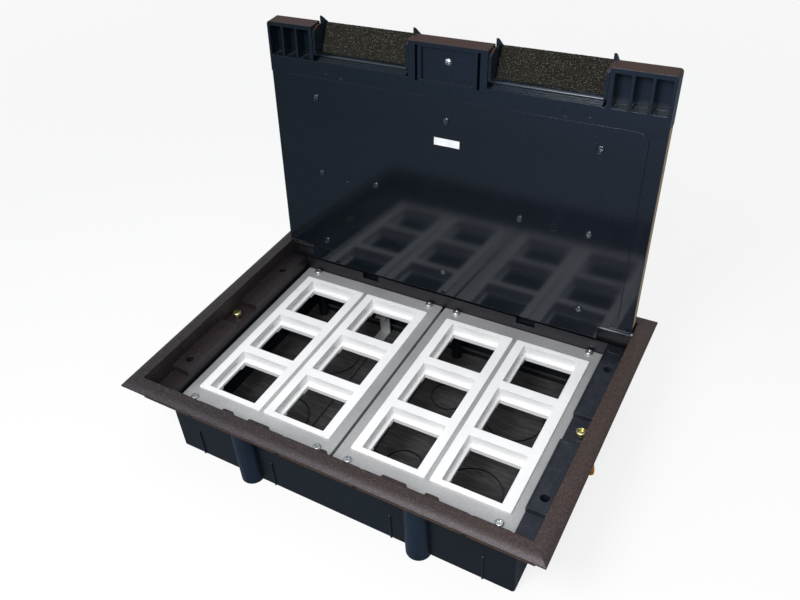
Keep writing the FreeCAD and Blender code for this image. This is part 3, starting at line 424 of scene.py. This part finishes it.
def dress_nodes():
    """Give every CAD node the finish of its real material."""
    finishes = {
        "tray": tray_plastic(), "frame": border_plastic(), "lid": lid_gloss(),
        "module_white": module_white(), "plate": plate_zinc(),
        "zinc": plated("zinc_bright", "9fa3a6", "dadcdd", 0.22),
        "yellow_zinc": plated("zinc_yellow", "8f8a58", "d6d2a0", 0.22),
        "dark_steel": plated("steel_black", "101216", "2b2e33", 0.3),
        "foam": foam_black(), "board": board_tan(), "label": label_paper(),
    }
    amber = plated("zinc_amber", "d07c0c", "f5a52a", 0.22, 0.45)
    own = {
        "board_screws": plated("zinc_dull", "474d56", "828993", 0.12),
        "clamp_claw_left": amber, "clamp_claw_right": amber,
    }
    slots = {row["node"]: row["material_slot"] for row in frame["record"]["subparts"]}
    for name, node in frame["nodes"].items():
        node.data.materials.clear()
        node.data.materials.append(own.get(name, finishes[slots[name]]))
    return finishes


# ---------------------------------------------------------------------------
# pieces made here
# ---------------------------------------------------------------------------
def foam_pad(side, finish):
    """Cut foam strip on an outlet flap, with torn open cells all over."""
    node = "outlet_foam_" + side
    source = frame["nodes"][node]
    pad = bpy.data.objects.new("foam_pad_" + side, source.data.copy())
    bpy.context.scene.collection.objects.link(pad)
    bpy.ops.object.select_all(action="DESELECT")
    pad.hide_set(False)
    pad.select_set(True)
    bpy.context.view_layer.objects.active = pad
    bpy.ops.object.mode_set(mode="EDIT")
    bpy.ops.mesh.select_all(action="SELECT")
    bpy.ops.mesh.remove_doubles(threshold=FOAM_MERGE)
    bpy.ops.mesh.tris_convert_to_quads()
    bpy.ops.mesh.select_all(action="SELECT")
    bpy.ops.mesh.bevel(offset=FOAM_EDGE, segments=2, affect="EDGES")
    bpy.ops.object.mode_set(mode="OBJECT")
    remesh = pad.modifiers.new("cells", "REMESH")
    remesh.mode = "VOXEL"
    remesh.voxel_size = FOAM_CELL
    bpy.ops.object.modifier_apply(modifier=remesh.name)
    texture = bpy.data.textures.new("torn_cells_" + side, "CLOUDS")
    texture.noise_scale = FOAM_TEAR
    texture.noise_depth = 3
    tear = pad.modifiers.new("torn", "DISPLACE")
    tear.texture = texture
    tear.texture_coords = "LOCAL"
    tear.mid_level = FOAM_LEVEL
    tear.strength = 2 * FOAM_ROUGH
    bpy.ops.object.modifier_apply(modifier=tear.name)
    bpy.ops.object.shade_smooth_by_angle(angle=FOAM_SMOOTH)
    pad.data.materials.clear()
    pad.data.materials.append(finish)
    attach(pad, "outlet_flap_" + side[0])
    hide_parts(node)


def add_camera():
    back = Vector((math.sin(AZIMUTH) * math.cos(ELEVATION),
                   -math.cos(AZIMUTH) * math.cos(ELEVATION),
                   math.sin(ELEVATION)))
    level = (-back).cross(Vector((0, 0, 1))).normalized()
    down = (-back).cross(level)
    right = level * math.cos(ROLL) + down * math.sin(ROLL)
    up = level * math.sin(ROLL) - down * math.cos(ROLL)
    data = bpy.data.cameras.new("camera")
    data.lens = LENS
    data.sensor_width = SENSOR
    data.shift_x = SHIFT_X
    data.clip_start = 0.01
    camera = bpy.data.objects.new("camera", data)
    camera.matrix_world = Matrix((
        (right.x, up.x, back.x, 0), (right.y, up.y, back.y, 0),
        (right.z, up.z, back.z, 0), (0, 0, 0, 1)))
    camera.location = LOOK_AT + back * DISTANCE
    bpy.context.scene.collection.objects.link(camera)
    bpy.context.scene.camera = camera


def add_floor():
    """Pale floor that the camera sees and that mirrors as a dim one."""
    bpy.ops.mesh.primitive_plane_add(size=FLOOR_SIZE, location=(0, 0, FLOOR_DROP))
    floor = bpy.context.object
    floor.name = "floor"
    f = Finish("floor_white")
    seen = f.ray("Camera")
    colour = f.blend(seen, "6a7683", "ececec")
    plain = f.node("ShaderNodeBsdfDiffuse", None, {"Color": colour})
    glow = f.node("ShaderNodeEmission", None, {"Color": NEUTRAL, "Strength": 1.0})
    reach = f.node("ShaderNodeVectorMath", {"operation": "LENGTH"}, {0: f.place}, out=1)
    far = reach.ramp(*FLOOR_FADE)
    share = seen * (0.80 + far * 0.20) + f.ray("Glossy") * 0.03 + f.ray("Transmission") * 0.80
    mixed = f.node("ShaderNodeMixShader", None, {0: share, 1: plain, 2: glow})
    f.node("ShaderNodeOutputMaterial", None, {"Surface": mixed})
    floor.data.materials.append(f.material)


def add_world():
    """White where the camera looks past the floor, and a dimmer room for the rest."""
    world = bpy.data.worlds.new("studio")
    bpy.context.scene.world = world
    world.use_nodes = True
    w = Nodes(world.node_tree)
    room = w.node("ShaderNodeBackground", None, {"Color": ROOM_TINT, "Strength": ROOM_STRENGTH})
    white = w.node("ShaderNodeBackground", None, {"Color": NEUTRAL, "Strength": 1.0})
    share = w.ray("Camera") + w.ray("Glossy") * 0.15 + w.ray("Transmission")
    mixed = w.node("ShaderNodeMixShader", None, {0: share, 1: room, 2: white})
    w.node("ShaderNodeOutputWorld", None, {"Surface": mixed})


def add_light():
    for name, place, width, watts, tint in LAMPS:
        data = bpy.data.lights.new(name, "AREA")
        data.size = width
        data.energy = watts
        data.color = tint
        lamp = bpy.data.objects.new(name, data)
        lamp.location = place
        aim = Vector(LIT_POINT) - Vector(place)
        lamp.rotation_euler = aim.to_track_quat("-Z", "Y").to_euler()
        bpy.context.scene.collection.objects.link(lamp)


# ---------------------------------------------------------------------------
# build
# ---------------------------------------------------------------------------
bpy.ops.object.select_all(action="DESELECT")
bpy.context.scene.view_settings.view_transform = "Standard"
add_camera()
add_world()
add_light()
add_floor()
finishes = dress_nodes()
for side in ("left", "right"):
    foam_pad(side, finishes["foam"])
